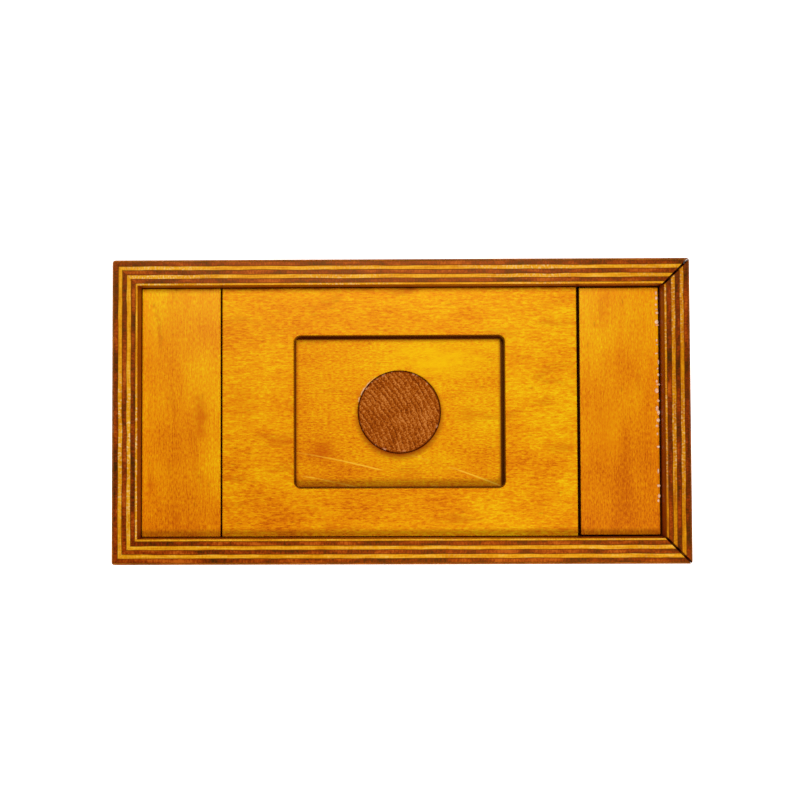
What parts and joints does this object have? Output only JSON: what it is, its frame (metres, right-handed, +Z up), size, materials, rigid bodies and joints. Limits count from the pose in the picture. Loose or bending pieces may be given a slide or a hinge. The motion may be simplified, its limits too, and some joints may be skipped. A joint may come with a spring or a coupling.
{
  "type": "wooden puzzle box",
  "caption": "Rectangular mitred plywood box with recessed cover boards, a round dowel in a window that turns a hidden lock, and a sliding drawer behind one end wall.",
  "frame": {"origin": "middle of the closed box's bottom rim, on the table", "axes": "+X along the box towards the drawer front, +Y across it, +Z up through the window"},
  "size_m": [0.178, 0.094, 0.048],
  "materials": {
    "stained_plywood": "stained and oiled birch plywood, edges showing",
    "amber_board": "satin amber stain and varnish on light hardwood",
    "dowel_end_grain": "stained end grain, satin",
    "plain_plywood": "sanded birch plywood, unfinished",
    "beech": "sanded beech, unfinished",
    "steel": "bright drawn steel"
  },
  "bodies": {
    "case": {"front_wall": "stained_plywood", "back_wall": "stained_plywood", "left_end_wall": "stained_plywood", "left_top_board": "amber_board", "centre_top_board": "amber_board", "deck": "amber_board", "bottom_panel": "plain_plywood", "front_batten": "beech", "back_batten": "beech", "end_batten": "beech", "pin_block": "beech", "pin_bore_plug": "beech", "stop_block": "beech"},
    "drawer": {"right_end_wall": "stained_plywood", "right_top_board": "amber_board", "tray_bottom": "plain_plywood", "tray_front_side": "plain_plywood", "tray_back_side": "plain_plywood", "tray_rear": "plain_plywood", "tray_head": "plain_plywood", "catch_block": "beech", "stop_lug": "beech"},
    "lock": {"lock_dowel": "dowel_end_grain", "lock_arm": "beech", "arm_screw": "steel"},
    "pin": {"tilt_pin": "steel"}
  },
  "joints": [
    {"name": "drawer_slide", "type": "slide", "parent": "case", "child": "drawer", "axis": [1, 0, 0], "range_m": [0, 0.136]},
    {"name": "lock_turn", "type": "hinge", "parent": "case", "child": "lock", "pos_m": [-0.00035, 0, 0.0327], "axis": [0, 0, 1], "range_deg": [0, 90]},
    {"name": "pin_slide", "type": "slide", "parent": "case", "child": "pin", "axis": [1, 0, 0], "range_m": [0, 0.005]}
  ]
}
